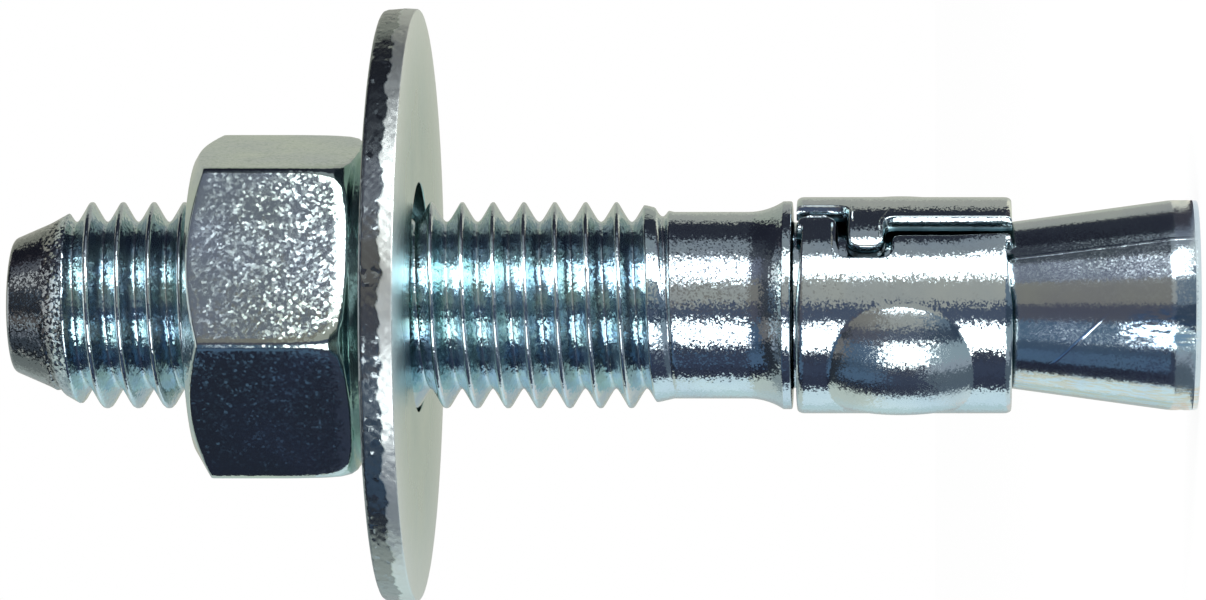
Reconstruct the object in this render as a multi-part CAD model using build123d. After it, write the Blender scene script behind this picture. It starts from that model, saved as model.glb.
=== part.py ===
from build123d import *
import math
import os

# Wedge anchor, 5/8 in by 3 1/2 in, zinc plated steel: a threaded stud with an expander cone,
# a hex nut, a flat washer and a split expansion clip.
# Millimetres, +Z up. The anchor stands on its cone end: Z = 0 is the flat end of the cone,
# the stud's axis is the Z axis and the threaded tip points up.

# --- thread: unified coarse, right-handed ---
threads_per_inch = 11
pitch = 25.4 / threads_per_inch
crest_radius = 7.73
thread_depth = 1.48
crest_flat = 0.29
flank_angle = 30.0          # each flank, from square to the axis
crest_phase = 2.04          # a crest crosses the +X side this far above the shank
runout_length = 3.15        # the crests slope down to the shank
runout_turns = 1.0          # the groove climbs out of the steel over these turns
runout_lift = 0.05          # how far past the shank it climbs, so that it ends in the air
mouth_lift = 0.1            # the same for the grooves' open side
length_turns = 4            # grooves are cut in lengths of this many turns: long ones mesh badly
steps_per_turn = 24         # points along a spline edge

# --- stud, from the tip down ---
overall_length = 88.5
nose_length = 2.8           # plain tapered nose that takes the hammer blows
nose_end_radius = 4.95
nose_base_radius = 6.17
nose_edge_break = 0.35
bevel_length = 2.75         # from the nose up to the first full crest
shank_radius = 6.99
shank_length = 5.5
flare_radius = 4.9          # concave sweep from the shank out to the collar
collar_radius = 7.79
collar_length = 0.67
collar_edge_break = 0.15
neck_radius = 6.2
neck_length = 16.1
cone_radius = 7.87
cone_length = 12.15
land_length = 2.05          # straight land under the cone
end_bevel = 0.7

# --- expansion clip: a band rolled round the neck ---
clip_length = 16.0
clip_wall = 1.27
clip_edge_break = 0.25
neck_play = 0.63            # radial, neck to clip bore
collar_play = 0.37          # collar to the clip's upper end
seam_angle = -42.0          # degrees round from +X
seam_gap = 1.5
tongue_width = 3.1
tongue_height = 2.05
tongue_round = 1.3
tongue_side_gap = 0.65
tongue_end_gap = 1.1
lobe_width = 2.85
lobe_height = 3.0
lobe_round = 1.1
lobe_side_gap = 0.4
lobe_end_gap = 0.65
band_corner_round = 0.9
seam_round = 0.8            # the other corners of the seam
fullest_round = 0.48        # a tongue's corner is rounded by no more than this share of its width
dome_length = 10.55         # along the axis
dome_half_turn = 41.3       # degrees it reaches to each side, round the band
dome_height = 1.0
dome_bend = 120.0           # degrees of bent bar that shape it, more than it shows
dome_centre = 8.25          # above the clip's lower end
dome_turn = 90.0            # degrees from the seam, one dome each way

# --- washer and nut ---
nut_seat = 60.75            # height of the nut's bearing face
nut_across_flats = 23.55
nut_height = 13.89
nut_turn = 17.5             # a corner's direction, degrees round from +X
nut_corner_round = 0.5
nut_face_radius = 11.2      # outer face
nut_face_chamfer = 30.0     # degrees up from the face
nut_seat_radius = 10.2      # bearing face, narrower: the forging fills its corners less there
nut_seat_chamfer = 50.0
nut_thread_play = 0.14      # radial, stud thread to nut thread
countersink_play = 0.35     # the countersink's mouth past the nut's thread
washer_radius = 22.22
washer_thickness = 2.5
washer_hole_radius = 8.6
washer_edge_break = 0.35    # rolled-over edge, on the nut's side
washer_shear_height = 0.9   # upright sheared band of the rim; above it the rim leans in
washer_rim_lean = 0.12
washer_play = 0.0           # washer to nut: they bear on each other

# --- worked out from the sizes above ---
flank_slope = math.tan(math.radians(flank_angle))
root_radius = crest_radius - thread_depth
root_flat = pitch - crest_flat - 2 * thread_depth * flank_slope
cone_top = land_length + cone_length
collar_face = cone_top + neck_length
flare_start = collar_face + collar_length
flare_rise = collar_radius - shank_radius
shank_bottom = flare_start + math.sqrt(flare_rise * (2 * flare_radius - flare_rise))
shank_top = shank_bottom + shank_length
thread_bottom = shank_top + runout_length
nose_base = overall_length - nose_length
thread_top = nose_base - bevel_length
crest_height = shank_top + crest_phase
clip_bore = neck_radius + neck_play
clip_radius = clip_bore + clip_wall
clip_top = collar_face - collar_play
clip_bottom = clip_top - clip_length
washer_top = nut_seat - washer_play
clear = 1.0                 # how far cutting shapes reach past the steel


def turned(corners):
    """Solid of revolution about Z from an outline of (radius, height) corners."""
    points = [(radius, 0, height) for radius, height in corners]
    return revolve(make_face(Polyline(*points, close=True)), Axis.Z)


def upright(radius, bottom, height):
    """A cylinder on the stud's axis."""
    return Pos(0, 0, bottom + height / 2) * Cylinder(radius, height)


def groove_section(floor, mouth, flat, height):
    """A thread groove across its length: flat floor at one radius, 60 degree flanks to its mouth."""
    half_mouth = flat / 2 + abs(mouth - floor) * flank_slope
    corners = [
        (floor, 0, height - flat / 2),
        (floor, 0, height + flat / 2),
        (mouth, 0, height + half_mouth),
        (mouth, 0, height - half_mouth),
    ]
    return make_face(Polyline(*corners, close=True))


def cut_helix(body, floor, mouth, flat, height, lengths, start_angle):
    """Cuts a groove up a right-handed helix, length after length, from a height and an angle."""
    rise = length_turns * pitch
    for start in [height + length * rise for length in range(lengths)]:
        path = Location((0, 0, start)) * Helix(pitch=pitch, height=rise, radius=floor)
        groove = sweep(groove_section(floor, mouth, flat, start), path=path, is_frenet=True)
        body -= Rot(0, 0, start_angle) * groove
    return body


def runout_groove(mouth, height, start_angle):
    """The groove's last turns: going down, its floor climbs from the root to clear of the shank."""
    lift = shank_radius + runout_lift - root_radius
    steps = round(steps_per_turn * runout_turns)

    def edge(side, at_mouth):
        points = []
        for step in range(steps + 1):
            share = step / steps
            floor = root_radius + lift * (1 - share)
            radius = mouth if at_mouth else floor
            half_width = root_flat / 2 + (radius - floor) * flank_slope
            turn = 2 * math.pi * runout_turns * share
            rise = pitch * runout_turns * share + side * half_width
            points.append(Vector(radius * math.cos(turn), radius * math.sin(turn), height + rise))
        return Edge.make_spline(points)

    ring = [edge(-1, False), edge(1, False), edge(1, True), edge(-1, True)]
    walls = [Face.make_surface_from_curves(a, b) for a, b in zip(ring, ring[1:] + ring[:1])]
    caps = [Face(Wire.make_polygon([side @ end for side in ring], close=True)) for end in (0, 1)]
    return Rot(0, 0, start_angle) * Solid(Shell(walls + caps))


def stud_blank(top):
    """The headed and turned blank: land, cone, neck, collar, shank and a plain thread body."""
    below = [
        (0, 0), (cone_radius - end_bevel, 0), (cone_radius, end_bevel), (cone_radius, land_length),
        (neck_radius, cone_top), (neck_radius, collar_face),
        (collar_radius - collar_edge_break, collar_face),
        (collar_radius, collar_face + collar_edge_break), (collar_radius, flare_start),
    ]
    above = [
        (shank_radius, shank_bottom), (shank_radius, shank_top), (crest_radius, thread_bottom),
        (crest_radius, top), (0, top), (0, 0),
    ]
    lower = Polyline(*[(radius, 0, height) for radius, height in below])
    upper = Polyline(*[(radius, 0, height) for radius, height in above])
    flare = TangentArc(upper @ 0, lower @ 1, tangent=(0, 0, -1))
    return revolve(make_face(Curve() + [lower, flare, upper]), Axis.Z)


def tip_form():
    """What the tip is turned to: a bevel over the first crests and the tapered nose beyond it."""
    reach = cone_radius + clear
    bevel_slope = bevel_length / (crest_radius - nose_base_radius)
    bevel_foot = thread_top - (reach - crest_radius) * bevel_slope
    corners = [
        (0, -clear), (reach, -clear), (reach, bevel_foot), (nose_base_radius, nose_base),
        (nose_end_radius, overall_length - nose_edge_break),
        (nose_end_radius - nose_edge_break, overall_length), (0, overall_length),
    ]
    return turned(corners)


def anchor_stud():
    """Blank with the thread rolled on, from the run-out at the shank up to the bevelled tip."""
    mouth = crest_radius + mouth_lift
    lengths = math.ceil((overall_length - crest_height) / pitch / length_turns)
    stud = stud_blank(crest_height + (lengths * length_turns + 1) * pitch)
    stud = cut_helix(stud, root_radius, mouth, root_flat, crest_height, lengths, 180)
    stud -= runout_groove(mouth, crest_height - runout_turns * pitch, 180 - 360 * runout_turns)
    return stud & tip_form()


def hex_nut():
    """Forged hexagon chamfered at both faces, with a thread that follows the stud's at a play."""
    bore = root_radius + nut_thread_play
    thread_radius = crest_radius + nut_thread_play
    corner = nut_across_flats / math.sqrt(3) + clear
    face_chamfer = (corner - nut_face_radius) * math.tan(math.radians(nut_face_chamfer))
    seat_chamfer = (corner - nut_seat_radius) * math.tan(math.radians(nut_seat_chamfer))
    countersink = thread_radius + countersink_play
    inner = bore - clear
    top = nut_seat + nut_height
    outline = [
        (inner, nut_seat + countersink - inner), (countersink, nut_seat),
        (nut_seat_radius, nut_seat), (corner, nut_seat + seat_chamfer),
        (corner, top - face_chamfer), (nut_face_radius, top),
        (countersink, top), (inner, top - countersink + inner),
    ]
    form = turned(outline)
    flats = RegularPolygon(nut_across_flats / 2, 6, major_radius=False, rotation=nut_turn)
    flats = fillet(flats.vertices(), nut_corner_round)
    hexagon = extrude(Pos(0, 0, nut_seat - clear) * flats, nut_height + 2 * clear)

    turns_below = math.floor((nut_seat - crest_height) / pitch) - 1
    first_crest = crest_height + turns_below * pitch
    lengths = math.ceil((nut_height / pitch + 2) / length_turns)
    block_bottom = first_crest - pitch
    block_height = (lengths * length_turns + 2) * pitch
    block = upright(corner, block_bottom, block_height) - upright(bore, block_bottom, block_height)
    mouth = bore - mouth_lift
    block = cut_helix(block, thread_radius, mouth, crest_flat, first_crest, lengths, 0)
    return block & (hexagon & form)


def flat_washer():
    """Stamped ring: the punch rolls its upper edges over and leans its rim, and shears the rest."""
    bottom = washer_top - washer_thickness
    shoulder = washer_top - washer_edge_break
    leaned = washer_radius - washer_rim_lean
    return turned([
        (washer_hole_radius, bottom), (washer_radius, bottom),
        (washer_radius, bottom + washer_shear_height), (leaned, shoulder),
        (leaned - washer_edge_break, washer_top),
        (washer_hole_radius + washer_edge_break, washer_top), (washer_hole_radius, shoulder),
    ])


def dome(depth):
    """A bent bar whose skin lies this far under the dome's: round one way, bent along the axis."""
    peak = clip_radius + dome_height
    drop = peak - clip_radius * math.cos(math.radians(dome_half_turn))
    half_chord = clip_radius * math.sin(math.radians(dome_half_turn))
    round_the_band = (drop**2 + half_chord**2) / (2 * drop)
    along_the_axis = (dome_height**2 + (dome_length / 2) ** 2) / (2 * dome_height)
    bar_end = Pos(peak - round_the_band, 0) * Circle(round_the_band - depth)
    bend_axis = Axis((peak - along_the_axis, 0, 0), (0, 1, 0))
    bar = revolve(bar_end.rotate(bend_axis, -dome_bend / 2), bend_axis, dome_bend)
    return Pos(0, 0, clip_bottom + dome_centre) * bar


def seam():
    """What is open between the band's two ends: one carries a tongue, the other a lobe beside it.

    Drawn flat and pressed through the wall: X runs down from the clip's upper end, Y round the band.
    """
    far = 2 * clip_radius
    lower_edge = -seam_gap / 2
    upper_edge = seam_gap / 2
    tongue_tip = lower_edge + tongue_height
    lobe_start = tongue_width + tongue_side_gap
    lobe_stop = lobe_start + lobe_width
    lobe_tip = upper_edge - lobe_height
    recess_floor = lobe_tip - lobe_end_gap
    recess_stop = lobe_stop + lobe_side_gap
    tongue_corner = min(tongue_round, tongue_width * fullest_round)
    lobe_corner = min(lobe_round, lobe_width * fullest_round)
    tongue_end = FilletPolyline(
        (0, -far), (0, tongue_tip), (tongue_width, tongue_tip), (tongue_width, recess_floor),
        (recess_stop, recess_floor), (recess_stop, lower_edge), (clip_length, lower_edge),
        (clip_length, -far), close=True,
        radius=[0, tongue_corner, tongue_corner, seam_round, seam_round, seam_round,
                band_corner_round, 0])
    lobe_end = FilletPolyline(
        (0, far), (0, tongue_tip + tongue_end_gap), (lobe_start, tongue_tip + tongue_end_gap),
        (lobe_start, lobe_tip), (lobe_stop, lobe_tip), (lobe_stop, upper_edge),
        (clip_length, upper_edge), (clip_length, far), close=True,
        radius=[0, seam_round / 2, seam_round / 2, lobe_corner, lobe_corner, seam_round,
                clip_edge_break, 0])
    window = Pos(clip_length / 2, 0) * Rectangle(clip_length + 2 * clear, clip_bore)
    gap = window - make_face(tongue_end) - make_face(lobe_end)
    outward = Vector(1, 0, 0).rotate(Axis.Z, seam_angle)
    wall = Plane(origin=(0, 0, clip_top), x_dir=(0, 0, -1), z_dir=outward)
    return extrude(wall * gap, clip_radius + clear)


def expansion_clip():
    """Strip with two pressed domes, rolled into a band round the neck with an open seam."""
    waist = clip_radius - clip_edge_break
    band = turned([
        (0, clip_bottom), (waist, clip_bottom), (clip_radius, clip_bottom + clip_edge_break),
        (clip_radius, clip_top - clip_edge_break), (waist, clip_top), (0, clip_top),
    ])
    places = [Rot(0, 0, seam_angle + dome_turn * side) for side in (1, -1)]
    inside_the_ends = upright(clip_radius + clear, clip_bottom, clip_length)
    for place in places:
        band += place * dome(0) & inside_the_ends
    band -= upright(clip_bore, clip_bottom - clear, clip_length + 2 * clear)
    for place in places:
        band -= place * dome(clip_wall)
    return band - seam()


sub_parts = {
    "anchor_stud": anchor_stud,
    "hex_nut": hex_nut,
    "flat_washer": flat_washer,
    "expansion_clip": expansion_clip,
}

os.makedirs("parts", exist_ok=True)
for name, build in sub_parts.items():
    solids = build().solids()
    print(name, len(solids), "solid, volume", round(sum(solid.volume for solid in solids), 2))
    export_step(solids[0], f"parts/{name}.step")
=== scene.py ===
# %% [markdown]
# # A zinc-plated wedge anchor
# A wedge anchor is a threaded stud with a cone at its foot and a loose split band, the clip, round
# the neck above the cone. It goes into a drilled hole; turning the nut draws the cone up into the
# clip, which opens and grips the stone. This lesson dresses its four steel pieces for a still.
#
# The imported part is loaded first, and its box is kept. Every new piece is worked out in
# millimetres in the same frame: the anchor stands on its cone end, its axis is Z.

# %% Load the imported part
import math

import bpy
import numpy as np
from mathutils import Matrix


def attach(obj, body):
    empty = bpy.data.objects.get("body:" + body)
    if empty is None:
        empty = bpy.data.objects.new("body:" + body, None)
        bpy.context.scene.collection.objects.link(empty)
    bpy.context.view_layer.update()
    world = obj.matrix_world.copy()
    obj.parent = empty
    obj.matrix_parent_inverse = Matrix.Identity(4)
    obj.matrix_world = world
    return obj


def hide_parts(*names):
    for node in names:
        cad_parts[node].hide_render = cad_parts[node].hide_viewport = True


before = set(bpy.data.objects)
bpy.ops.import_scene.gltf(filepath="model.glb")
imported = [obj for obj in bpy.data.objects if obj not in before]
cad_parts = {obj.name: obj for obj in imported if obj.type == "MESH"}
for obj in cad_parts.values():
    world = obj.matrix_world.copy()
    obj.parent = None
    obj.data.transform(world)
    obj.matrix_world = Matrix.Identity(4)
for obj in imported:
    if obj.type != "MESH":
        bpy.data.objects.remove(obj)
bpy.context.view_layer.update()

# %% [markdown]
# ## One way to make a mesh
# Each piece here is a grid of points: rows run along a profile, columns run round the axis. The
# grid is computed as whole arrays and handed to Blender in one go. Where the columns close on
# themselves the last joins the first, and a first or last row on the axis becomes one point.


# %% Grid to mesh
def grid_faces(rows, columns, wrap_rows, wrap_columns):
    """Quads of a grid: each joins point (row, column) to its right, upper-right and upper neighbour."""
    row = np.arange(rows if wrap_rows else rows - 1)[:, None]
    column = np.arange(columns if wrap_columns else columns - 1)[None, :]
    above, beside = (row + 1) % rows, (column + 1) % columns
    quads = np.stack([row * columns + column, row * columns + beside,
                      above * columns + beside, above * columns + column], axis=-1)
    return quads.reshape(-1, 4)


def mesh_object(name, points, faces):
    """A smooth-shaded object from points in millimetres and a list of arrays of faces."""
    mesh = bpy.data.meshes.new(name)
    polygons = [face for group in faces for face in group.tolist()]
    mesh.from_pydata((points / 1000.0).tolist(), [], polygons)
    mesh.shade_smooth()
    mesh.update()
    piece = bpy.data.objects.new(name, mesh)
    bpy.context.scene.collection.objects.link(piece)
    triangles = sum(len(group) * (group.shape[1] - 2) for group in faces)
    print(name, len(points), "points,", triangles, "triangles")
    return piece


def round_points(radius, turn, height):
    """Cylindrical to Cartesian: x and y are the radius times the cosine and sine of the turn."""
    shape = np.broadcast_shapes(np.shape(radius), np.shape(turn), np.shape(height))
    spread = [np.broadcast_to(part, shape) for part in
              (radius * np.cos(turn), radius * np.sin(turn), height)]
    return np.stack(spread, axis=-1).reshape(-1, 3)


# %% [markdown]
# ## Edges that catch the light
# No real edge is sharp: rolling, shearing and plating leave a small rounding that shows as a
# bright or dark line. The profile's corners are therefore eased: each is replaced by a short curve
# that starts and ends a set distance from it, with one more row just outside each end, so that the
# shading of the curve doesn't spread over the flat beside it.


# %% Eased profiles
def eased(corners, ease, bend=8):
    """Rows along a path of corners, an array (corner, column, 2), each corner drawn as a curve.

    A quadratic curve runs from the point `ease` before a corner to the one `ease` after it, with
    the corner as its pull: (1-t)^2 A + 2t(1-t) C + t^2 B. The path's two ends stay as they are.
    """
    corners = np.asarray(corners, float)
    ease = np.broadcast_to(np.asarray(ease, float), (len(corners) - 2,))[:, None]
    here = corners[1:-1]
    t = np.linspace(0, 1, bend)[None, :, None, None]

    def towards(other, stretch, limit):
        leg = other - here
        length = np.maximum(np.linalg.norm(leg, axis=-1), 1e-9)
        return (here + leg * np.minimum(ease * stretch / length, limit)[..., None])[:, None]

    start, stop = towards(corners[:-2], 1.0, 0.45), towards(corners[2:], 1.0, 0.45)
    curve = (1 - t) ** 2 * start + 2 * t * (1 - t) * here[:, None] + t**2 * stop
    guarded = [towards(corners[:-2], 1.15, 0.48), curve, towards(corners[2:], 1.15, 0.48)]
    inner = np.concatenate(guarded, axis=1).reshape(-1, corners.shape[1], 2)
    return np.concatenate([corners[:1], inner, corners[-1:]])


def refined(rows, longest):
    """The same path with its long steps cut into equal shorter ones, none over `longest` mm."""
    lengths = np.linalg.norm(np.diff(rows, axis=0), axis=-1).max(axis=1)
    cuts = np.maximum(1, np.ceil(lengths / longest).astype(int))
    places = np.concatenate([np.arange(n) / n + i for i, n in enumerate(cuts)] + [[len(rows) - 1]])
    low = np.minimum(places.astype(int), len(rows) - 2)
    share = (places - low)[:, None, None]
    return rows[low] * (1 - share) + rows[low + 1] * share


def soft_least(a, b, width):
    """The lesser of two surfaces with the crease between them rounded over about this width."""
    return 0.5 * (a + b - np.sqrt((a - b) ** 2 + width**2))


# %% [markdown]
# ## The rolled thread
# Rolling presses the groove into the stud between two dies and squeezes the crests up, so the
# crests are narrow and smooth and the root is a small hollow. The groove is a function of turn and
# height: the distance to the nearest groove centre, less half the floor's width, times the flank's
# slope, is how far the wall has climbed. At its lower end the floor climbs out in one turn.

# %% Thread function
pitch = 25.4 / 11
crest_radius, root_radius, shank_radius = 7.73, 6.25, 6.99
crest_flat = 0.29
flank_slope = 1 / math.tan(math.radians(30))
root_flat = pitch - crest_flat - 2 * (crest_radius - root_radius) / flank_slope
crest_height = 41.19      # a crest crosses +X here, and the run-out begins half a turn away
run_out_step = 0.05       # the run-out ends this much outside the shank
no_wall = 99.0            # further out than any piece


def groove_wall(turn, height, floor_radius, hollow):
    """Radius of the groove's floor and flanks at each point, from the nearest groove centres.

    The climb is slope * (d + sqrt(d^2 + hollow^2)) / 2, where d is the distance past the floor's
    edge, which rounds the corner between floor and flank over about the hollow's width.
    """
    place = (height - crest_height) / pitch - (turn - math.pi) / (2 * math.pi)
    centre_climb = math.sqrt(root_flat**2 / 4 + hollow**2) - root_flat / 2
    wall = np.full(np.broadcast_shapes(place.shape, np.shape(floor_radius)), no_wall)
    for groove in (np.round(place) - 1, np.round(place), np.round(place) + 1):
        turns_up = (turn - math.pi) / (2 * math.pi) + groove
        lift = np.clip(-turns_up, 0, None) * (shank_radius + run_out_step - floor_radius)
        past = np.abs(place - groove) * pitch - root_flat / 2
        climb = 0.5 * (past + np.sqrt(past**2 + hollow**2) - centre_climb) * flank_slope
        wall = np.minimum(wall, np.where(turns_up > -1.0, floor_radius + lift + climb, no_wall))
    return wall


print("root flat", round(root_flat, 3), "mm, pitch", round(pitch, 3), "mm")

# %% [markdown]
# ## The stud
# One profile runs from the centre of the cone's flat end, up the land, cone, neck, collar, shank
# and thread to the centre of the nose. Turned round the axis it is the blank; the thread function
# then lowers it wherever the groove is deeper. That is how the real one is made too: headed and
# turned first, rolled after. Handling has left a nick in one crest.

# %% Stud profile
columns = 144
land_top, cone_top, collar_face = 2.05, 14.2, 30.3
flare_start, shank_bottom, shank_top = 30.97, 33.653, 39.153
thread_bottom, thread_top = 42.303, 82.95
nose_base, overall = 85.7, 88.5
land_radius, neck_radius, collar_radius = 7.87, 6.2, 7.79
nose_radius, tip_radius = 6.17, 4.95
fine_from = 38.5          # from here up the rows stand close together, for the thread
tip_flat = 4.4            # inside this radius the flat tip has three rows of its own


def flare_profile(steps=12):
    """Concave arc from the collar down onto the shank, leaving the shank along the axis."""
    rise, run = collar_radius - shank_radius, shank_bottom - flare_start
    radius = (rise**2 + run**2) / (2 * rise)
    height = np.linspace(flare_start, shank_bottom, steps)
    return [(shank_radius + radius - math.sqrt(radius**2 - (shank_bottom - h) ** 2), h) for h in height]


below = [(0.0, 0.0), (land_radius, 0.0), (land_radius, land_top), (neck_radius, cone_top),
         (neck_radius, collar_face), (collar_radius, collar_face), *flare_profile(),
         (shank_radius, shank_top)]
above = [(crest_radius, thread_bottom), (crest_radius, thread_top), (nose_radius, nose_base),
         (tip_radius, overall), (0.0, overall)]
# how far each corner is eased: up to the collar, along the flare, and from the thread to the tip
stud_ease = [0.22, 0.25, 0.3, 0.25, 0.15] + [0.05] * (len(below) - 6) + [0.25, 0.3, 0.35, 0.35]
stud_path = eased(np.array(below + above)[:, None, :], stud_ease)
coarse, fine = refined(stud_path, 0.8)[:, 0, :], refined(stud_path, 0.12)[:, 0, :]
threaded = (fine[:, 1] > fine_from) & (fine[:, 0] > tip_flat)
stud_rows = np.concatenate([coarse[coarse[:, 1] <= fine_from], fine[threaded],
                            [[4.2, overall], [2.5, overall], [0.0, overall]]])
print(len(stud_rows), "rows on the stud")

# %% Stud surface
rolled_from = 38.0        # no groove below this height
nick_at, nick_height, nick_slant = math.radians(288.8), 45.06, 1.6
nick_length, nick_width, nick_depth = 0.42, 0.16, 0.28
turn = np.arange(columns)[None, :] * 2 * math.pi / columns
body = stud_rows[1:-1]
blank, height = body[:, :1], body[:, 1:]
groove = groove_wall(turn, height, root_radius, hollow=0.16)
rolled = np.minimum(soft_least(blank, groove, width=0.06), blank)
radius = np.where(height > rolled_from, rolled, blank)
nick_turn = (turn - nick_at + math.pi) % (2 * math.pi) - math.pi
nick_across = (height - nick_height + nick_slant * crest_radius * nick_turn) / nick_width
nick_along = crest_radius * nick_turn / nick_length
on_crest = radius > 7.2
radius = radius - nick_depth * np.exp(-(nick_across**2 + nick_along**2)) * on_crest
stud_points = np.concatenate([[[0.0, 0.0, 0.0]], round_points(radius, turn, height),
                              [[0.0, 0.0, overall]]])
ring = np.arange(columns)
foot = np.stack([np.zeros_like(ring), (ring + 1) % columns + 1, ring + 1], axis=-1)
last = 1 + (len(body) - 1) * columns
crown = np.stack([np.full_like(ring, len(stud_points) - 1), last + ring,
                  last + (ring + 1) % columns], axis=-1)
stud = mesh_object("threaded_stud", stud_points,
                   [grid_faces(len(body), columns, False, True) + 1, foot, crown])

# %% [markdown]
# ## The hex nut
# The nut is cold forged. Its outline round the axis is six flats joined by small arcs. Towards the
# bearing face the steel doesn't fill the die: the corners draw in, and the flats end in a soft edge
# above a steep chamfer. The outer face has a crisp shallow chamfer. Both ends are surfaces of
# revolution, and the nut is the least of outline and ends, so the flats' curved ends come out of
# themselves.

# %% Nut outline
nut_seat, nut_height, across_flats = 60.75, 13.89, 23.55
nut_turn = math.radians(17.5)
nut_top = nut_seat + nut_height
face_radius, sink_radius, bore_radius = 11.2, 8.22, 6.39
face_chamfer = math.radians(30)
nut_root, thread_play = 7.87, 0.14
# the surface that the die leaves at the bearing end, as heights above the seat and radii
end_above_seat = [0.0, 1.75, 1.95, 2.3, 3.0, 4.0, 5.6, 7.0]
end_radius = [10.2, 11.68, 12.5, 12.98, 13.3, 13.48, 13.75, 14.2]
corner_share = 0.12       # of a flat's width, at each end of it


def hex_columns():
    """Turns for the nut's columns: close together round each corner and wider along the flats."""
    share = np.concatenate([np.linspace(0, corner_share, 11)[:-1],
                            np.linspace(corner_share, 1 - corner_share, 22)[:-1],
                            np.linspace(1 - corner_share, 1, 11)[:-1]])
    return (np.arange(6)[:, None] + share[None, :]).ravel() * math.pi / 3 + nut_turn


def hex_outline(turn, corner_round):
    """Radius of a round-cornered hexagon: the flat's distance over the cosine, or the corner's arc."""
    apothem = across_flats / 2
    off_flat = (turn - nut_turn) % (math.pi / 3) - math.pi / 6
    centre = (apothem - corner_round) / math.cos(math.pi / 6)
    off_corner = math.pi / 6 - np.abs(off_flat)
    arc_start = np.arctan2(centre * math.sin(math.pi / 6), apothem)
    reach = np.maximum(corner_round**2 - (centre * np.sin(off_corner)) ** 2, 0)
    arc = centre * np.cos(off_corner) + np.sqrt(reach)
    return np.where(np.abs(off_flat) < arc_start, apothem / np.cos(off_flat), arc)


print("nut", across_flats, "mm across flats,", nut_height, "mm high")

# %% Nut surface
nut_columns = hex_columns()[None, :]
# heights above the seat, close together at both shaped ends; the flats draw in below droop_start
seat_end_stop, face_end_start, droop_start = 5.0, 12.2, 3.1
side = np.concatenate([np.linspace(0, seat_end_stop, 60),
                       np.linspace(seat_end_stop, face_end_start, 14)[1:-1],
                       np.linspace(face_end_start, nut_height, 30)])
level = nut_seat + side[:, None]
droop = 0.05 * np.clip((droop_start - side) / 1.2, 0, 1)[:, None] ** 2
flats = hex_outline(nut_columns, corner_round=0.85) - droop
seat_end = np.interp(side, end_above_seat, end_radius)[:, None]
face_cone = face_radius + (nut_top - level) / math.tan(face_chamfer)
sides = soft_least(soft_least(flats, seat_end, width=0.22), face_cone, width=0.1)
sink_depth = sink_radius - bore_radius
bore_level = np.linspace(nut_top - sink_depth, nut_seat + sink_depth, 96)[1:-1, None]


def nut_rings(radii, levels):
    """Plain rings between the shaped sides and the bore, as rows as wide as the columns."""
    return [np.repeat(np.array(part, float)[:, None], nut_columns.size, axis=1)
            for part in (radii, levels)]


seat_ring = nut_rings([bore_radius, sink_radius - 0.1, sink_radius + 0.05, 9.6],
                      [nut_seat + sink_depth, nut_seat + 0.08, nut_seat, nut_seat])
face_ring = nut_rings([10.6, sink_radius + 0.05, sink_radius - 0.1, bore_radius],
                      [nut_top, nut_top, nut_top - 0.08, nut_top - sink_depth])
nut_radius = np.concatenate([seat_ring[0], sides, face_ring[0],
                             np.full((len(bore_level), nut_columns.size), bore_radius)])
nut_level = np.concatenate([seat_ring[1], np.repeat(level, nut_columns.size, axis=1), face_ring[1],
                            np.repeat(bore_level, nut_columns.size, axis=1)])
thread_cut = groove_wall(nut_columns, nut_level, root_radius, hollow=0.1) + thread_play
thread_cut = np.minimum(thread_cut, nut_root)
nut_radius = np.where(nut_radius < sink_radius + 0.01, np.maximum(nut_radius, thread_cut), nut_radius)
nut = mesh_object("hexagon_nut", round_points(nut_radius, nut_columns, nut_level),
                  [grid_faces(*nut_radius.shape, True, True)])

# %% [markdown]
# ## The flat washer
# The washer is punched from strip. The punch drags the upper edge over, which leaves the rim
# leaning in and scuffed, and shears the rest, which stays upright and bright. The line between the
# two wanders, as a sum of a few waves round the rim that repeats exactly on every run.

# %% Washer
washer_bottom, washer_top, washer_radius, hole_radius = 58.25, 60.75, 22.22, 8.6
rim_start, shear_height, hole_middle = 21.3, 59.2, 59.5
hole_offset = 0.6         # the hole is a little off centre
washer_turn = np.arange(720)[None, :] * 2 * math.pi / 720


def wander(turn, waves):
    """A wavy line round the axis: the sum of sines, each with its count, height and start."""
    return sum(high * np.sin(count * turn + start) for count, high, start in waves)


washer_corners = np.array([(hole_radius, hole_middle), (hole_radius, washer_bottom),
                           (washer_radius, washer_bottom), (washer_radius, washer_top),
                           (hole_radius, washer_top), (hole_radius, hole_middle + 0.1)])
washer_path = eased(washer_corners[:, None, :], [0.1, 0.12, 0.35, 0.3])
on_rim = washer_path[:, 0, 0] > rim_start
rim_rows = refined(washer_path[on_rim], 0.07)
first, last_on = on_rim.nonzero()[0][[0, -1]]
inner_rows, outer_rows = refined(washer_path[:first], 1.5), refined(washer_path[last_on + 1:], 1.5)
washer_rows = np.concatenate([inner_rows, rim_rows, outer_rows])
washer_ring, washer_level = washer_rows[..., 0], washer_rows[..., 1]
shear_waves = [(23, 0.12, 0.4), (41, 0.09, 2.0), (87, 0.07, 1.1), (149, 0.05, 3.0)]
shear_line = shear_height + wander(washer_turn, shear_waves)
lean = 0.12 * np.clip(washer_level - shear_line, 0, None) / (washer_top - shear_height)
tuck = 0.05 * np.clip(shear_line - washer_level, 0, None)
grain = 0.012 * wander(washer_turn + 0.01 * washer_level,
                       [(211, 0.5, 0.0), (167, 0.5, 1.0)]) * np.sin(9.0 * washer_level + 31 * washer_turn)
rim_share = np.clip((washer_ring - rim_start) / 0.5, 0, 1)
inwards = np.clip((washer_radius - washer_ring) / (washer_radius - hole_radius), 0, 1)
off_centre = hole_offset * np.cos(washer_turn) * inwards
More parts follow.
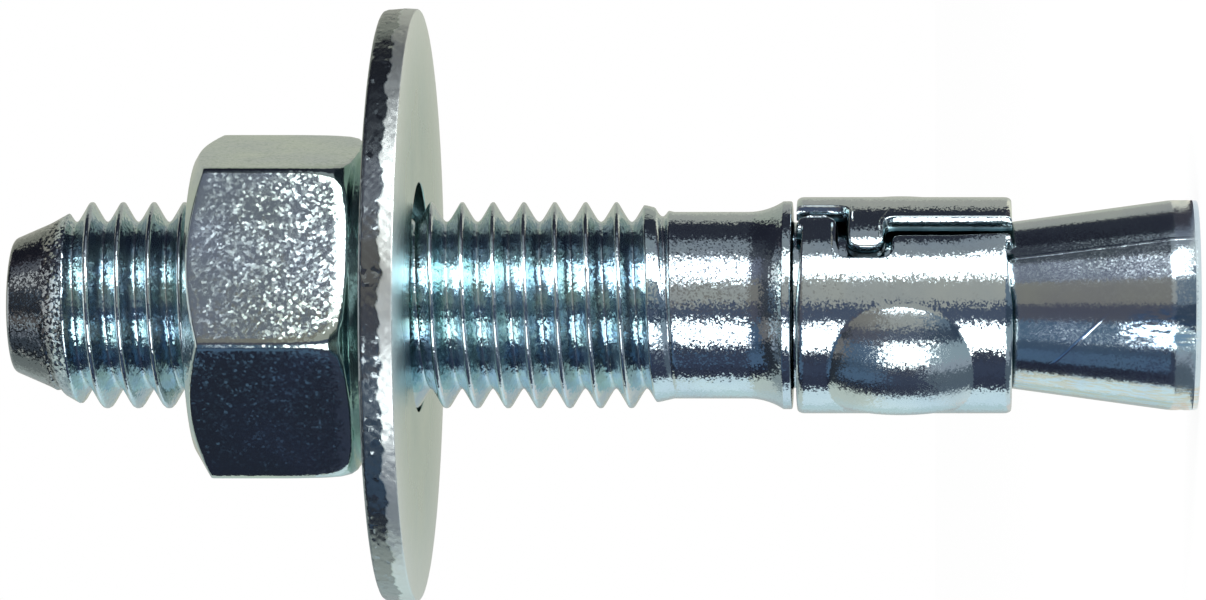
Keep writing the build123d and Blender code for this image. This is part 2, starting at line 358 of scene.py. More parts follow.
washer_ring = washer_ring - rim_share * (lean + tuck + 0.012 + grain) + off_centre
washer = mesh_object("punched_washer", round_points(washer_ring, washer_turn, washer_level),
                     [grid_faces(len(washer_rows), washer_turn.size, True, True)])
sheared = rim_share * np.clip((shear_line - washer_level) / 0.08 + 0.5, 0, 1)
stored = washer.data.attributes.new("sheared", "FLOAT", "POINT")
stored.data.foreach_set("value", sheared.ravel())
print("sheared share of the rim", round(float(sheared.sum() / rim_share.sum() / washer_turn.size), 2))

# %% [markdown]
# ## The expansion clip
# The clip is cut from strip with a tongue on one end and a lobe on the other, dimpled by a press
# into two long domes, and rolled round the neck. It is drawn the same way here: both cut ends are
# flat outlines, the surface runs from one to the other round the band, and the strip's section,
# with its edges rounded by the punch, is carried along it.

# %% Clip outlines
clip_bottom, clip_top = 13.93, 29.93
clip_bore, clip_radius = 6.83, 8.1
clip_length, wall = clip_top - clip_bottom, clip_radius - clip_bore
seam_turn = math.radians(-42.0)
around = 2 * math.pi * clip_radius


def outline(corners, rounds):
    """A cut end's outline, down from the clip's top and round the band, and the distance along it."""
    path = eased(np.array(corners, float)[:, None, :], rounds, bend=10)[:, 0, :]
    return path, np.concatenate([[0], np.cumsum(np.linalg.norm(np.diff(path, axis=0), axis=1))])


tongue_end = outline(
    [(0, 0), (0, 1.75), (3.1, 1.75), (3.1, -2.9), (7.0, -2.9), (7.0, -0.75), (clip_length, -0.75),
     (clip_length, -1.65)],
    [1.3, 1.3, 0.8, 0.8, 0.8, 0.9])
lobe_end = outline(
    [(0, 2.4), (3.75, 2.4), (3.75, -2.25), (6.6, -2.25), (6.6, 0.75), (clip_length, 0.75)],
    [0.8, 1.1, 1.1, 0.8])


def along(line, distance):
    """Points of an outline at these distances, and the unit normals on its left."""
    path, lengths = line
    at, before, after = (
        np.stack([np.interp(distance + step, lengths, path[:, i]) for i in (0, 1)], axis=-1)
        for step in (0, -0.08, 0.08))
    ahead = (after - before) / np.linalg.norm(after - before, axis=-1, keepdims=True)
    return at, np.stack([-ahead[:, 1], ahead[:, 0]], axis=-1)


print("outlines of tongue and lobe", [round(float(end[1][-1]), 1) for end in (tongue_end, lobe_end)], "mm")


# %% Strip section
# The band's two long edges are a quarter of an ellipse: q = 0 on the edge and 90 degrees where the
# skin is full. The cut ends lean back by 20 degrees for half a millimetre, where the punch sheared
# them, and then turn into the skin.
quarter = np.linspace(0, math.pi / 2, 7)
edge_reach, edge_band = 0.55, 0.75
edge_insets = np.concatenate([edge_reach * (1 - np.cos(quarter)), [edge_reach + 0.06, edge_band]])
edge_worn = np.concatenate([0.3 * (1 - np.sin(quarter)), [0, 0]])
insets = np.array([0.0, 0.06, 0.12, 0.165, 0.185, 0.22, 0.27, 0.33, 0.5])
worn = np.array([0.5, 0.34, 0.17, 0.05, 0.025, 0.01, 0.0, 0.0, 0.0])
middle = np.linspace(0, 1, 99)[1:-1]
row_worn = np.concatenate([edge_worn, np.zeros(len(middle)), edge_worn[::-1]])


def row_distance(total):
    """Distance along an outline for each row: fixed near both edges, shared out between them."""
    shared = edge_band + middle * (total - 2 * edge_band)
    return np.concatenate([edge_insets, shared, total - edge_insets[::-1]])


tongue_at, tongue_left = along(tongue_end, row_distance(tongue_end[1][-1]))
lobe_at, lobe_left = along(lobe_end, row_distance(lobe_end[1][-1]))
plain_rows = row_distance(clip_length)
print(len(row_worn), "rows across the band")

# %% Strip laid flat
# Near a cut end the columns follow its outline; over the next few millimetres they straighten.
# They stand close together where the two domes are.
end_zone, far_side = 7.0, 18.7      # mm round the band from the seam; the domes are in between
straighten = np.linspace(0, 1, 24)[1:, None, None]
spans = [(-end_zone, -far_side, 96), (-far_side, far_side - around, 32),
         (far_side - around, end_zone - around, 96)]
back_places = np.concatenate([np.linspace(start, stop, n, endpoint=False) for start, stop, n in spans])[1:]


def upright_line(place):
    """A column straight down the strip at this place round the band."""
    return np.stack([plain_rows, np.full_like(plain_rows, place)], axis=-1)


tongue_side = tongue_at - tongue_left * insets[:, None, None]
lobe_side = lobe_at + lobe_left * insets[:, None, None] - [0, around]
from_tongue = tongue_side[-1] * (1 - straighten) + upright_line(-end_zone) * straighten
to_lobe = lobe_side[-1] * (1 - straighten) + upright_line(end_zone - around) * straighten
back = [upright_line(place) for place in back_places]
flat = np.concatenate([tongue_side, from_tongue, back, to_lobe[::-1], lobe_side[::-1]]).swapaxes(0, 1)
column_worn = np.concatenate([worn, np.zeros(flat.shape[1] - 2 * len(worn)), worn[::-1]])
print("clip grid", flat.shape[:2])


# %% Domes
def dome_lift(height, turn, crease=0.03):
    """How far the pressed domes stand out of the band.

    Each is part of a torus: a circle across the band, bowed along the axis. Its reach from the
    axis, less the band's radius, is the lift; a square root rounds the crease at its foot. The press
    leaves the foot a little steeper than the arc, over the first tenth of a millimetre of lift.
    """
    rise, half_turn, half_length = 0.93, math.radians(41.3), 5.275
    dome_height, foot_step, foot_width = clip_bottom + 8.25, 0.07, 0.11
    peak = clip_radius + rise
    drop, chord = peak - clip_radius * math.cos(half_turn), clip_radius * math.sin(half_turn)
    tube = (drop**2 + chord**2) / (2 * drop)
    bow = (rise**2 + half_length**2) / (2 * rise)
    sag = bow - np.sqrt(bow**2 - np.clip(height - dome_height, -7.5, 7.5) ** 2)
    lift = np.zeros(np.broadcast_shapes(height.shape, turn.shape))
    for side in (1, -1):
        off = (turn - seam_turn - side * math.pi / 2 + math.pi) % (2 * math.pi) - math.pi
        near_dome = np.abs(off) < 1.2
        centre = peak - tube - sag
        reach = centre * np.cos(off) + np.sqrt(np.maximum(tube**2 - (centre * np.sin(off)) ** 2, 0))
        above = np.where(near_dome, reach - clip_radius, -1.0)
        lift = np.maximum(lift, 0.5 * (above + np.sqrt(above**2 + crease**2)) * near_dome)
    return lift + foot_step * (1 - np.exp(-lift / foot_width))


# %% Clip surface
# The end with the tongue was bent a little too far, so it curls in by a third of a millimetre. The
# curl fades towards the lower end, which has to slide some way down the cone, and the lobe droops.
curl_start, slot_edge, curl_depth = -4.0, -0.75, 0.3      # mm round the band, and mm inwards
fade_length, fade_end = 4.4, 15.9                         # mm, and mm down from the clip's top
down, round_band = flat[..., 0], flat[..., 1]
clip_height, clip_turn = clip_top - down, seam_turn + round_band / clip_radius
into_curl = np.clip((round_band - curl_start) / (slot_edge - curl_start), 0, 1)
on_tongue = (round_band > slot_edge) & (round_band < 1.5)
curl = np.where(round_band > -around / 2, curl_depth * into_curl**2, 0.0)
curl = curl + np.where(on_tongue, 0.05 * (round_band - slot_edge), 0.0)
curl = curl * np.clip((fade_end - down) / fade_length, 0, 1)
on_lobe_side = np.arange(flat.shape[1])[None, :] > flat.shape[1] // 2
lobe_droop = 0.15 * np.clip(-(round_band + around) - 0.9, 0, 1.4) ** 2 * (down < 7.0)
inset = np.where(on_lobe_side, lobe_droop, curl)
lift = dome_lift(clip_height, clip_turn)
mid_radius = (clip_bore + clip_radius) / 2 + lift - inset
lost = np.maximum(row_worn[:, None], column_worn[None, :])
lost_inside = 0.3 * row_worn[:, None] + 0.1 * column_worn[None, :]
outer_radius, inner_radius = mid_radius + wall / 2 - lost, mid_radius - wall / 2 + lost_inside
outside, inside = (round_points(skin, clip_turn, clip_height).reshape(*lost.shape, 3)
                   for skin in (outer_radius, inner_radius))
loop = np.concatenate([outside, inside[::-1]])
rows, cols = loop.shape[:2]
row = np.arange(rows // 2 - 1)
partner = rows - 1 - row


def cut_face(column, flip):
    """Closes a cut end with quads across the wall, from each outer row to its inner partner."""
    quads = np.stack([row * cols + column, (row + 1) * cols + column,
                      (partner - 1) * cols + column, partner * cols + column], axis=-1)
    return quads[:, ::-1] if flip else quads


clip = mesh_object("split_clip", loop.reshape(-1, 3),
                   [grid_faces(rows, cols, True, False), cut_face(0, False), cut_face(cols - 1, True)])
pressed = np.clip(lift / 0.15 - 0.3, 0, 1)
stored = clip.data.attributes.new("pressed", "FLOAT", "POINT")
stored.data.foreach_set("value", np.concatenate([pressed, pressed[::-1]]).ravel())

# %% [markdown]
# ## Which way is out
# A grid's faces may point in or out, depending on which way its rows run. For a closed piece the
# sign of the volume that the faces enclose tells which, and the faces are turned if it is negative.


# %% Normals outwards
def face_outwards(piece):
    """Turns a closed piece's faces outwards by the sum of a . (b x c) / 6 over its triangles."""
    mesh = piece.data
    mesh.calc_loop_triangles()
    corners = np.empty(len(mesh.loop_triangles) * 3, np.int32)
    mesh.loop_triangles.foreach_get("vertices", corners)
    points = np.empty(len(mesh.vertices) * 3, np.float32)
    mesh.vertices.foreach_get("co", points)
    a, b, c = np.moveaxis(points.reshape(-1, 3)[corners.reshape(-1, 3)], 1, 0)
    volume = float(np.einsum("ij,ij->i", a, np.cross(b, c)).sum() / 6)
    if volume < 0:
        mesh.flip_normals()
    print(piece.name, "volume", round(abs(volume) * 1e9, 1), "mm3")


for piece in (stud, nut, washer, clip):
    face_outwards(piece)

# %% [markdown]
# ## Bright zinc plate
# All four pieces are mild steel with electroplated zinc. The plate is a metal, bluish silver, laid
# down as small crystals over a slightly pebbled steel surface. Each crystal lies at its own angle,
# so a highlight breaks up at its edges into sparks. Here the shading normal is tilted by a random
# step for each crystal and by a slow wave for the pebbling. Real crystals are a few hundredths of a
# millimetre across, too fine to show, so they are drawn 0.12 to 0.25 mm wide.


# %% Node helper
mm = 0.001      # Object coordinates are in metres


def linear(code):
    """An sRGB hex colour as the linear values that the shader takes, with full opacity."""
    parts = [int(code[i:i + 2], 16) / 255 for i in (0, 2, 4)]
    return [p / 12.92 if p <= 0.04045 else ((p + 0.055) / 1.055) ** 2.4 for p in parts] + [1.0]


def add_node(tree, kind, inputs=None, **settings):
    """Adds a shader node: settings are its properties, inputs maps sockets to values or outputs."""
    node = tree.nodes.new("ShaderNode" + kind)
    for name, value in settings.items():
        setattr(node, name, value)
    for name, value in (inputs or {}).items():
        if isinstance(value, bpy.types.NodeSocket):
            tree.links.new(value, node.inputs[name])
        else:
            node.inputs[name].default_value = value
    return node


def empty_material(name):
    """A material with an empty node tree."""
    material = bpy.data.materials.new(name)
    material.use_nodes = True
    material.node_tree.nodes.clear()
    return material, material.node_tree


# %% Zinc plate
drift_mm = 5.0      # the plate's colour and gloss wander over about this distance


def random_lean(tree, pattern, amount):
    """A lean for the normal: a pattern's colour, less a half, times an amount."""
    centred = add_node(tree, "VectorMath", {0: pattern, 1: (0.5, 0.5, 0.5)}, operation="SUBTRACT").outputs[0]
    return add_node(tree, "VectorMath", {0: centred, "Scale": amount}, operation="SCALE").outputs[0]


def leaned(tree, marks, lean):
    """Adds a lean to the marks' tilt."""
    marks["tilt"] = add_node(tree, "VectorMath", {0: marks["tilt"], 1: lean}, operation="ADD").outputs[0]


def zinc_plate(name, light, dull, crystal_mm, crystal_tilt, pebble_mm, pebble_tilt, gloss, dress=None):
    """Bright zinc on steel: its normal is n + crystal tilt + pebble tilt, normalised.

    `gloss` is the range of its roughness. `dress` adds a piece's own marks to the four that a piece
    starts with: colour, roughness, tilt and height.
    """
    material, tree = empty_material(name)
    place = add_node(tree, "TexCoord").outputs["Object"]
    drift = add_node(tree, "TexNoise", {"Vector": place, "Scale": 1000 / drift_mm, "Detail": 4.0})
    patchy = add_node(tree, "MapRange", {"Value": drift.outputs["Fac"], "From Min": 0.35, "From Max": 0.65})
    colour = add_node(tree, "Mix", {0: patchy.outputs[0], 6: linear(light), 7: linear(dull)},
                      data_type="RGBA").outputs[2]
    crystals = add_node(tree, "TexVoronoi", {"Vector": place, "Scale": 1000 / crystal_mm}).outputs["Color"]
    pebbles = add_node(tree, "TexNoise", {"Vector": place, "Scale": 1000 / pebble_mm, "Detail": 2.0})
    spread = {"From Min": 0.3, "From Max": 0.7, "To Min": gloss[0], "To Max": gloss[1]}
    roughness = add_node(tree, "MapRange", {"Value": drift.outputs["Fac"], **spread}).outputs[0]
    marks = {"colour": colour, "roughness": roughness, "height": None,
             "tilt": random_lean(tree, crystals, crystal_tilt)}
    leaned(tree, marks, random_lean(tree, pebbles.outputs["Color"], pebble_tilt))
    if dress:
        dress(tree, place, marks)
    geometry = add_node(tree, "NewGeometry").outputs["Normal"]
    tilted = add_node(tree, "VectorMath", {0: geometry, 1: marks["tilt"]}, operation="ADD").outputs[0]
    normal = add_node(tree, "VectorMath", {0: tilted}, operation="NORMALIZE").outputs[0]
    if marks["height"]:
        normal = add_node(tree, "Bump", {"Height": marks["height"], "Normal": normal,
                                         "Distance": 0.02 * mm}).outputs[0]
    shader = add_node(tree, "BsdfPrincipled", {"Metallic": 1.0, "Base Color": marks["colour"],
                                               "Roughness": marks["roughness"], "Normal": normal})
    add_node(tree, "OutputMaterial", {"Surface": shader.outputs[0]})
    return material


# %% [markdown]
# ## Where a mark shows
# A mark is placed by distance from the axis, direction round it and height, worked out from the
# Object coordinates. Soft edges in these, multiplied together, are its mask.


# %% Places and masks
def round_place(tree, place):
    """Distance from the axis, direction round it and height, from Object coordinates."""
    level = add_node(tree, "VectorMath", {0: place, 1: (1.0, 1.0, 0.0)}, operation="MULTIPLY").outputs[0]
    radius = add_node(tree, "VectorMath", {0: level}, operation="LENGTH").outputs["Value"]
    axes = add_node(tree, "SeparateXYZ", {0: place}).outputs
    front = add_node(tree, "Math", {0: axes[1], 1: -1.0}, operation="MULTIPLY").outputs[0]
    direction = add_node(tree, "Math", {0: axes[0], 1: front}, operation="ARCTAN2").outputs[0]
    return radius, direction, axes[2]


def mask(tree, edges, *shares):
    """How strongly a mark shows: its soft edges and these shares, all multiplied together.

    Each edge is (value, none, full): nothing where the value is `none`, one where it is `full`, and
    a smooth step between them.
    """
    factors = [add_node(tree, "MapRange", {"Value": value, "From Min": none, "From Max": full},
                        interpolation_type="SMOOTHSTEP").outputs[0] for value, none, full in edges]
    factors += shares
    total = factors[0]
    for factor in factors[1:]:
        total = add_node(tree, "Math", {0: total, 1: factor}, operation="MULTIPLY").outputs[0]
    return total


def tinted(tree, marks, share, colour):
    """Mixes a colour, a hex code or a node's output, into the marks' colour by a share."""
    other = colour if isinstance(colour, bpy.types.NodeSocket) else linear(colour)
    marks["colour"] = add_node(tree, "Mix", {0: share, 6: marks["colour"], 7: other},
                               data_type="RGBA").outputs[2]


# %% [markdown]
# ## What the passivation does in a groove
# After plating, the part is dipped in a thin clear chromate. It pools in the thread, where the
# film is thicker and shows teal, from green to blue. The mask is the distance from the axis: full
# below the crests and nothing on them. At the foot of the nose, where the dies end, the skin is rough.


# %% Stud marks
def stud_marks(tree, place, marks):
    """Teal film and livelier crystals in the thread, painted shade that greys the nose, and a calmer cone
    with its marks.
    """
    radius, direction, height = round_place(tree, place)
    patches = add_node(tree, "TexNoise", {"Vector": place, "Scale": 1000 / 1.8, "Detail": 2.0})
    film = add_node(tree, "Mix", {0: mask(tree, [(patches.outputs["Fac"], 0.4, 0.6)]),
                                  6: linear("BED6D8"), 7: linear("B6CEDC")}, data_type="RGBA").outputs[2]
    groove = mask(tree, [(radius, 7.68 * mm, 7.3 * mm), (height, 39.5 * mm, 42.0 * mm),
                         (height, 84.7 * mm, 83.5 * mm)], 0.9)
    tinted(tree, marks, groove, film)
    rough_skin = add_node(tree, "TexVoronoi", {"Vector": place, "Scale": 1000 / 0.22}).outputs["Color"]
    die_end = mask(tree, [(height, 83.4 * mm, 84.8 * mm), (height, 86.4 * mm, 85.2 * mm)], 0.5)
    lively = add_node(tree, "Math", {0: groove, 1: 0.14, 2: die_end}, operation="MULTIPLY_ADD").outputs[0]
    on_cone = mask(tree, [(height, cone_top * mm, (cone_top - 0.4) * mm)])
    calm = add_node(tree, "Math", {0: on_cone, 1: -0.65, 2: 1.0}, operation="MULTIPLY_ADD").outputs[0]
    marks["tilt"] = add_node(tree, "VectorMath", {0: marks["tilt"], "Scale": calm},
                             operation="SCALE").outputs[0]
    leaned(tree, marks, random_lean(tree, rough_skin, lively))
    # painted shade: the nose is darkened to grey, for the dark that it mirrors
    tinted(tree, marks, mask(tree, [(height, 84.6 * mm, 85.2 * mm)]), "969C9E")
    flash = flash_line(tree, radius, direction, height, on_cone)
    scratch = bowed_scratch(tree, direction, height)
    marks["height"] = add_node(tree, "Math", {0: flash, 1: scratch}, operation="ADD").outputs[0]
    tinted(tree, marks, mask(tree, [], scratch, 1.2), "B8DCFF")
    rub_and_stain(tree, place, marks, direction, height, on_cone)


# %% [markdown]
# ## Marks on the cone
# The cone tells how it was made and handled: a flash line where the two halves of the die met, a
# scratch, a spot near its end that has been rubbed, and a pale brown stain on its lower side.


# %% Cone marks
def flash_line(tree, radius, direction, height, on_cone):
    """A raised line down the cone, at 39.5 degrees less 0.405 degrees for each millimetre of height."""
    foot_at, twist = 0.6894, 7.07      # radians, and radians for each metre
    line = add_node(tree, "Math", {0: height, 1: twist, 2: direction}, operation="MULTIPLY_ADD").outputs[0]
    turned = add_node(tree, "Math", {0: line, 1: foot_at}, operation="SUBTRACT").outputs[0]
    arc = add_node(tree, "Math", {0: turned, 1: radius}, operation="MULTIPLY").outputs[0]
    aside = add_node(tree, "Math", {0: arc}, operation="ABSOLUTE").outputs[0]
    return mask(tree, [(aside, 0.18 * mm, 0.04 * mm)], on_cone, 0.75)


def bowed_scratch(tree, direction, height):
    """From 42 degrees below the front at 11.1 mm, towards the front at 6.6 mm, where it fades.

    With s the share of the way, its height in mm is 10.2 - 3.6 s + 0.9 (1 - s^2).
    """
    share = add_node(tree, "MapRange", {"Value": direction, "From Min": -0.742, "From Max": -0.05},
                     clamp=False).outputs[0]
    sloped = add_node(tree, "Math", {0: share, 1: 3.6 * mm, 2: height}, operation="MULTIPLY_ADD").outputs[0]
    bowed = add_node(tree, "Math", {0: share, 1: share, 2: -1.0}, operation="MULTIPLY_ADD").outputs[0]
    off = add_node(tree, "Math", {0: bowed, 1: 0.9 * mm, 2: sloped}, operation="MULTIPLY_ADD").outputs[0]
    off = add_node(tree, "Math", {0: off, 1: 10.2 * mm}, operation="SUBTRACT").outputs[0]
    off = add_node(tree, "Math", {0: off}, operation="ABSOLUTE").outputs[0]
    return mask(tree, [(off, 0.22 * mm, 0.03 * mm), (share, 0.0, 0.08), (share, 1.0, 0.7)], 0.5)


def rub_and_stain(tree, place, marks, direction, height, on_cone):
    """The rub is an oval 15 degrees below the front and 3.1 mm up, streaked along the cone."""
    warp = add_node(tree, "TexNoise", {"Vector": place, "Scale": 1000 / 1.5, "Detail": 3.0}).outputs["Fac"]
    across = add_node(tree, "MapRange", {"Value": direction, "From Min": -0.26, "From Max": -0.02},
                      clamp=False).outputs[0]
    up = add_node(tree, "MapRange", {"Value": height, "From Min": 3.1 * mm, "From Max": 6.3 * mm},
                  clamp=False).outputs[0]
    oval = add_node(tree, "CombineXYZ", {0: across, 1: up, 2: warp}).outputs[0]
    distance = add_node(tree, "VectorMath", {0: oval}, operation="LENGTH").outputs["Value"]
    slow = add_node(tree, "VectorMath", {0: place, 1: (1.0, 1.0, 0.25)}, operation="MULTIPLY").outputs[0]
    streaks = add_node(tree, "TexNoise", {"Vector": slow, "Scale": 1000 / 0.3, "Detail": 3.0}).outputs["Fac"]
    rubbed = mask(tree, [(distance, 1.25, 0.75), (streaks, 0.35, 0.6)], on_cone)
    down = add_node(tree, "Math", {0: rubbed, 1: -0.06}, operation="MULTIPLY").outputs[0]
    leaned(tree, marks, add_node(tree, "CombineXYZ", {2: down}).outputs[0])
    tinted(tree, marks, mask(tree, [], rubbed, 0.8), "A8CCE8")
    stain = mask(tree, [(direction, -0.78, -0.95), (streaks, 0.4, 0.6)], on_cone, 0.5)
    tinted(tree, marks, stain, "D6C6A0")


# %% [markdown]
# ## The darker rim
# The upper part of the washer's rim, which the punch dragged over, is drawn darker and specked. The
# band below it, where the steel was sheared off, is paler and rougher, which spreads the light and
# makes it evenly bright.


# %% Washer marks
def rim_marks(tree, place, marks):
    """Darker, specked zinc on the dragged part of the rim, and paler, rougher zinc on the torn band."""
    radius = round_place(tree, place)[0]
    grime = add_node(tree, "TexNoise", {"Vector": place, "Scale": 1000 / 0.8, "Detail": 3.0}).outputs["Fac"]
    torn = add_node(tree, "Attribute", attribute_name="sheared").outputs["Fac"]
    dragged = add_node(tree, "Math", {0: 1.0, 1: torn}, operation="SUBTRACT").outputs[0]
    rim = mask(tree, [(radius, 21.6 * mm, 21.9 * mm)], dragged)
    tinted(tree, marks, mask(tree, [], rim, 0.85), "8E949A")
    tinted(tree, marks, torn, "E2EAE8")
    speck = add_node(tree, "TexVoronoi", {"Vector": place, "Scale": 1000 / 0.45}).outputs["Color"]
    specked = mask(tree, [(grime, 0.5, 0.62)], rim, 0.35)
    amount = add_node(tree, "Math", {0: torn, 1: 0.08, 2: specked}, operation="MULTIPLY_ADD").outputs[0]
    leaned(tree, marks, random_lean(tree, speck, amount))
    rougher = add_node(tree, "Math", {0: torn, 1: 3.5, 2: rim}, operation="MULTIPLY_ADD").outputs[0]
    marks["roughness"] = add_node(tree, "Math", {0: rougher, 1: 0.07, 2: marks["roughness"]},
                                  operation="MULTIPLY_ADD").outputs[0]


# %% [markdown]
# ## The shaded cut and the pressed domes
# Inside the wall, on the clip's cut ends and in the bore, the metal is painted a dark teal as the
# shade there, and is rougher. Pressing has stretched the domes' skin, so it is a little rougher too.


# %% Clip marks
def clip_marks(tree, place, marks):
    """Painted shade inside the wall: a dark teal on the cut ends and in the bore, rougher there and on the
    domes.
    """
    radius = round_place(tree, place)[0]
    painted_shade_and_dull_inside = mask(tree, [(radius, 7.7 * mm, 7.0 * mm)])
    # painted shade: the cut ends and the bore are darkened to a dark teal
    tinted(tree, marks, painted_shade_and_dull_inside, "24424A")
    stretched = add_node(tree, "Attribute", attribute_name="pressed").outputs["Fac"]
    for share, rougher in ((painted_shade_and_dull_inside, 0.25), (stretched, 0.06)):
        marks["roughness"] = add_node(tree, "Math", {0: share, 1: rougher, 2: marks["roughness"]},
                                      operation="MULTIPLY_ADD").outputs[0]


# %% Finishes
# rolled and turned: small lively crystals, so its highlights end in sparks
rolled_zinc = zinc_plate("rolled bright zinc", "CEDFE2", "C3D2DC", crystal_mm=0.12, crystal_tilt=0.13,
                         pebble_mm=0.6, pebble_tilt=0.07, gloss=(0.1, 0.15), dress=stud_marks)
# forged flats: a calmer skin that mirrors its surroundings with a fine speckle
forged_zinc = zinc_plate("forged bright zinc", "C8D8D2", "BCCBD2", crystal_mm=0.2, crystal_tilt=0.065,
                         pebble_mm=0.9, pebble_tilt=0.05, gloss=(0.1, 0.15))
# punched from rolled strip: nearly flat and a little greener, with a wide soft sheen
punched_zinc = zinc_plate("punched bright zinc", "B0CCC6", "A9C6C4", crystal_mm=0.25, crystal_tilt=0.04,
                          pebble_mm=4.0, pebble_tilt=0.04, gloss=(0.14, 0.2), dress=rim_marks)
# bright strip, bent and pressed: the smoothest and palest of the four
strip_zinc = zinc_plate("rolled strip bright zinc", "D2E0E2", "C6D6DE", crystal_mm=0.12, crystal_tilt=0.11,
                        pebble_mm=0.7, pebble_tilt=0.06, gloss=(0.09, 0.13), dress=clip_marks)
finishes = {
    "stud_zinc": (stud, "anchor_stud", "stud", rolled_zinc),
    "nut_zinc": (nut, "hex_nut", "nut", forged_zinc),
    "washer_zinc": (washer, "flat_washer", "washer", punched_zinc),
    "clip_zinc": (clip, "expansion_clip", "clip", strip_zinc),
}
for slot_name, (piece, node, carrier, material) in finishes.items():
    piece.data.materials.append(material)
    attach(piece, carrier)
    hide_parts(node)
    print(piece.name, "stands for", node)

# %% [markdown]
# ## Camera
# The lens looks at the anchor square-on from the side, a little nearer the cone than the tip, and
# the camera is rolled a quarter turn so that the anchor lies across the picture, tip to the left.

# %% Camera
camera_data = bpy.data.cameras.new("camera")
camera = bpy.data.objects.new("camera", camera_data)
bpy.context.scene.collection.objects.link(camera)
bpy.context.scene.camera = camera
distance, eye_height, picture_width = 0.430, 0.0199, 1206.0
pixels_per_mm, foot_pixel, axis_offset = 13.345, 1197, 5.2
camera_data.sensor_width = 36.0
camera_data.lens = camera_data.sensor_width * distance * 1000 * pixels_per_mm / picture_width
camera_data.shift_x = (picture_width / 2 - foot_pixel + eye_height * 1000 * pixels_per_mm) / picture_width
camera_data.shift_y = axis_offset / picture_width
camera.location = (0.0, -distance, eye_height)
camera.rotation_euler = (math.radians(90), math.radians(90), 0.0)
camera_data.clip_start, camera_data.clip_end = 0.05, 60.0
print("lens", round(camera_data.lens, 2), "mm, shift", round(camera_data.shift_x, 3))

# %% [markdown]
# ## Floor and backdrop
# The floor is a matt white sweep that goes on to the horizon, and the world is plain white. To the
# camera and in the metal the floor is mostly plain white too; the rest of it is lit, so the
# anchor's shadow stays on it.


# %% Floor
def stage_mesh(name, points, faces, material):
    """A floor or card that is not part of the anchor, from points in metres."""
    mesh = bpy.data.meshes.new(name)
    mesh.from_pydata(points, [], faces)
    mesh.materials.append(material)
    thing = bpy.data.objects.new(name, mesh)
    bpy.context.scene.collection.objects.link(thing)
    return thing


def seen_directly(tree):
    """One for rays from the camera and for those from a mirror or through glass, else nothing."""
    rays = add_node(tree, "LightPath").outputs
    seen = add_node(tree, "Math", {0: rays["Is Camera Ray"], 1: rays["Is Glossy Ray"]}, operation="MAXIMUM")
    return add_node(tree, "Math", {0: seen.outputs[0], 1: rays["Is Transmission Ray"]},
                    operation="MAXIMUM").outputs[0]


sweep, tree = empty_material("matt white sweep")
matt = add_node(tree, "BsdfDiffuse", {"Color": linear("FAFAFA")}).outputs[0]
glow = add_node(tree, "Emission", {"Color": linear("FFFFFF"), "Strength": 1.0}).outputs[0]
share = add_node(tree, "Math", {0: seen_directly(tree), 1: 0.8}, operation="MULTIPLY").outputs[0]
mixed = add_node(tree, "MixShader", {0: share, 1: matt, 2: glow}).outputs[0]
add_node(tree, "OutputMaterial", {"Surface": mixed})
reach = 30.0
stage_mesh("floor", [(-reach, -reach, 0), (reach, -reach, 0), (reach, reach, 0), (-reach, reach, 0)],
           [(0, 1, 2, 3)], sweep)

world = bpy.data.worlds.new("studio")
bpy.context.scene.world = world
world.use_nodes = True
tree = world.node_tree
tree.nodes.clear()
white = add_node(tree, "Background", {"Color": linear("FFFFFF"), "Strength": 1.0}).outputs[0]
add_node(tree, "OutputWorld", {"Surface": white})
bpy.context.scene.view_settings.view_transform = "Standard"
print("floor", 2 * reach, "m across, view transform Standard")

# %% [markdown]
# ## Cards round the metal
# Polished metal shows its surroundings more than its colour, so the set makes the picture. Two
# long soft boxes give the two bright lines along the anchor, and grey and dark cards between and
# beyond them give the bands. Only the metal sees them: they are hidden from the camera, give the
# floor no light and cast no shadow. Each stands on a stretch of the circle round the axis, in five
# tiers, from the floor near the foot up the wall, and a sixth right under the land. The thread's
# flanks throw light across the groove, so they see the first tier and the fourth, which hangs in
# front of the fifth.


# %% Cards
def card(name, start, stop, path, code, strength=1.0):
    """A card curved round the axis between two directions, lit to an even colour.

    Directions are degrees from the camera's side, positive towards +X. The path is a list of
    (radius, height) in metres: up a wall, or in over the floor towards the anchor.
    """
    angle = np.radians(np.linspace(start, stop, 2 + int(abs(stop - start) / 6)))
    radius, height = np.array(path).T[:, :, None]
    points = np.stack(np.broadcast_arrays(radius * np.sin(angle), -radius * np.cos(angle), height), -1)
    material, tree = empty_material(name)
    glow = add_node(tree, "Emission", {"Color": linear(code), "Strength": strength}).outputs[0]
    add_node(tree, "OutputMaterial", {"Surface": glow})
    faces = grid_faces(len(path), len(angle), False, False)
    thing = stage_mesh(name, points.reshape(-1, 3).tolist(), faces.tolist(), material)
    thing.visible_camera = thing.visible_diffuse = thing.visible_shadow = False
    return thing


tiers = {
    "near": [(0.026, 0.0004), (0.1, 0.0004)],
    "low": [(0.1, 0.0005), (0.6, 0.0005), (0.6, 0.1)],
    "mid": [(0.6, 0.1), (0.6, 0.35)],
    "high": [(0.59, 0.64), (0.59, 0.84)],
    "top": [(0.6, 0.35), (0.6, 1.7)],
}
foot_path, foot_share, foot_box_strength = [(0.0078, 0.0004), (0.026, 0.0004)], 0.85, 0.7
box_strength = {"near": 9.0, "low": 4.0, "high": 1.2}
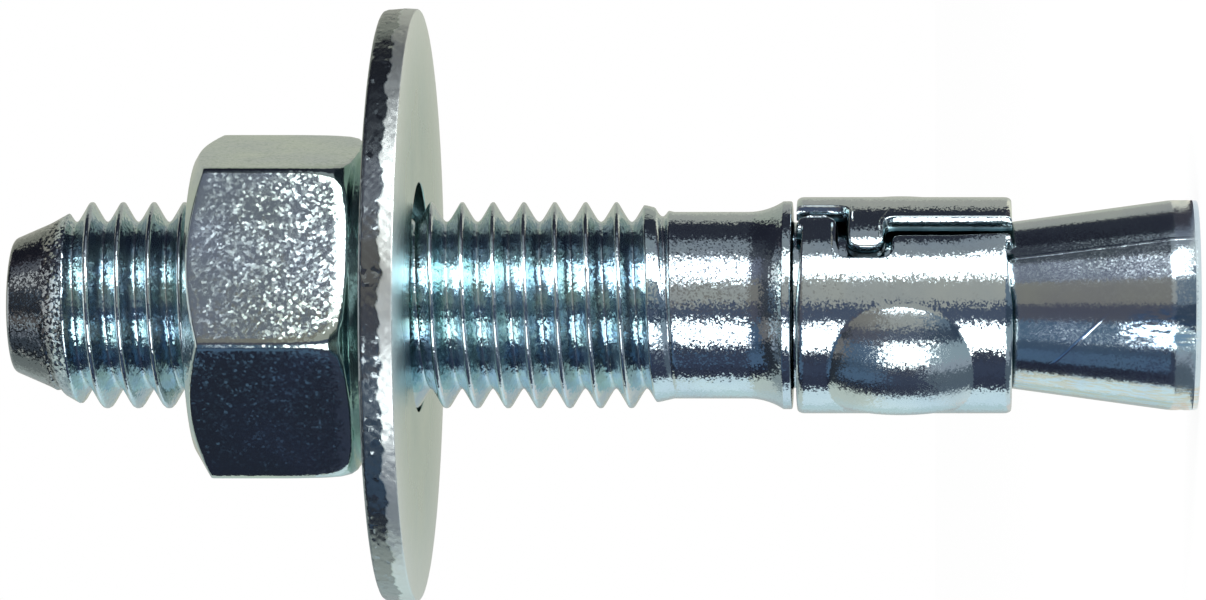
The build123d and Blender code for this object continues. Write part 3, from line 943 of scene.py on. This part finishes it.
# each stretch: its name, its two directions, and the colours of its tiers in the order above
stretches = [
    ("ledge above", 58, 73, "9A9CA4 96999E 4A4C54 9A9CA4 4C4D54"),
    ("ledge above back", 73, 87, "7F838E 9A9EA4 3A3C46 7F838E 30323C"),
    ("black flag above", 87, 125, "4A464E 343640 262732 4A464E 2A2B36"),
    ("grey back above", 125, 152, "F4ECD8 B2AEA6 B6B6A8 D8D4C8 B6B6A8"),
    ("back above", 152, 190, "D8D8C8 C3C3B6 C3C3B6 C3C3B6 C3C3B6"),
    ("back below", -170, -152, "D8D8D0 BDC4C3 BDC4C3 BDC4C3 BDC4C3"),
    ("pale back below", -152, -132, "EAE0D8 D0E3E4 D0DCD8 D0DCD8 B8C0BC"),
    ("sky below", -132, -101, "E8F0F0 ECFAFF D8DCD2 E8E8E0 A0A8A6"),
    ("black flag below", -101, -81, "606A76 3A3E50 282B3A 606A76 30343C"),
    ("blue flag below", -81, -62, "606A76 40465A 586E88 606A76 30343C"),
    ("flag's edge below", -62, -48, "A0A6B2 3A3E50 46586E A8AEBA 30343C"),
    ("lower soft box", -48, -21, "9AA8B2 FFFFFF 506680 D0DCE4 817A79"),
    ("dusk front", -21, 1, "3E4A5C 525A6E 5A5864 3E4A5C 404249"),
    ("grey panel", 1, 31, "6E7C8C B4B0AA 8E8680 6E7C8C 484A52"),
    ("upper soft box", 31, 58, "FFFFFF FFFFFF 7A7B8A FFFFFF 606068"),
]
for name, start, stop, codes in stretches:
    for tier, code in zip(tiers, codes.split()):
        strength = box_strength[tier] if code == "FFFFFF" else 1.0
        card(f"{name} {tier}", start, stop, tiers[tier], code, strength)
    foot_strength = foot_box_strength if codes.startswith("FFFFFF") else 1.0
    card(f"{name} foot", foot_share * start, foot_share * stop, foot_path, codes[:6], foot_strength)
print(len(stretches), "stretches of cards")

# %% [markdown]
# ## Lamps
# The floor's light and the anchor's shadow come from the white world and two broad lamps where the
# soft boxes stand. The metal sees the boxes and not the lamps.


# %% Lamps
def soft_lamp(name, direction, power):
    """A broad lamp at this many degrees from the camera's side, above, turned to the anchor."""
    lamp = bpy.data.lights.new(name, "AREA")
    lamp.shape = "RECTANGLE"
    lamp.size, lamp.size_y = 0.3, 0.4
    lamp.energy = power
    thing = bpy.data.objects.new(name, lamp)
    angle, reach, height = math.radians(direction), 0.55, 0.5
    thing.location = (reach * math.sin(angle), -reach * math.cos(angle), height)
    thing.rotation_euler = (math.radians(50), 0.0, angle)
    thing.visible_glossy = False
    bpy.context.scene.collection.objects.link(thing)


soft_lamp("upper lamp", 45, 1.5)
soft_lamp("lower lamp", -36, 1.0)
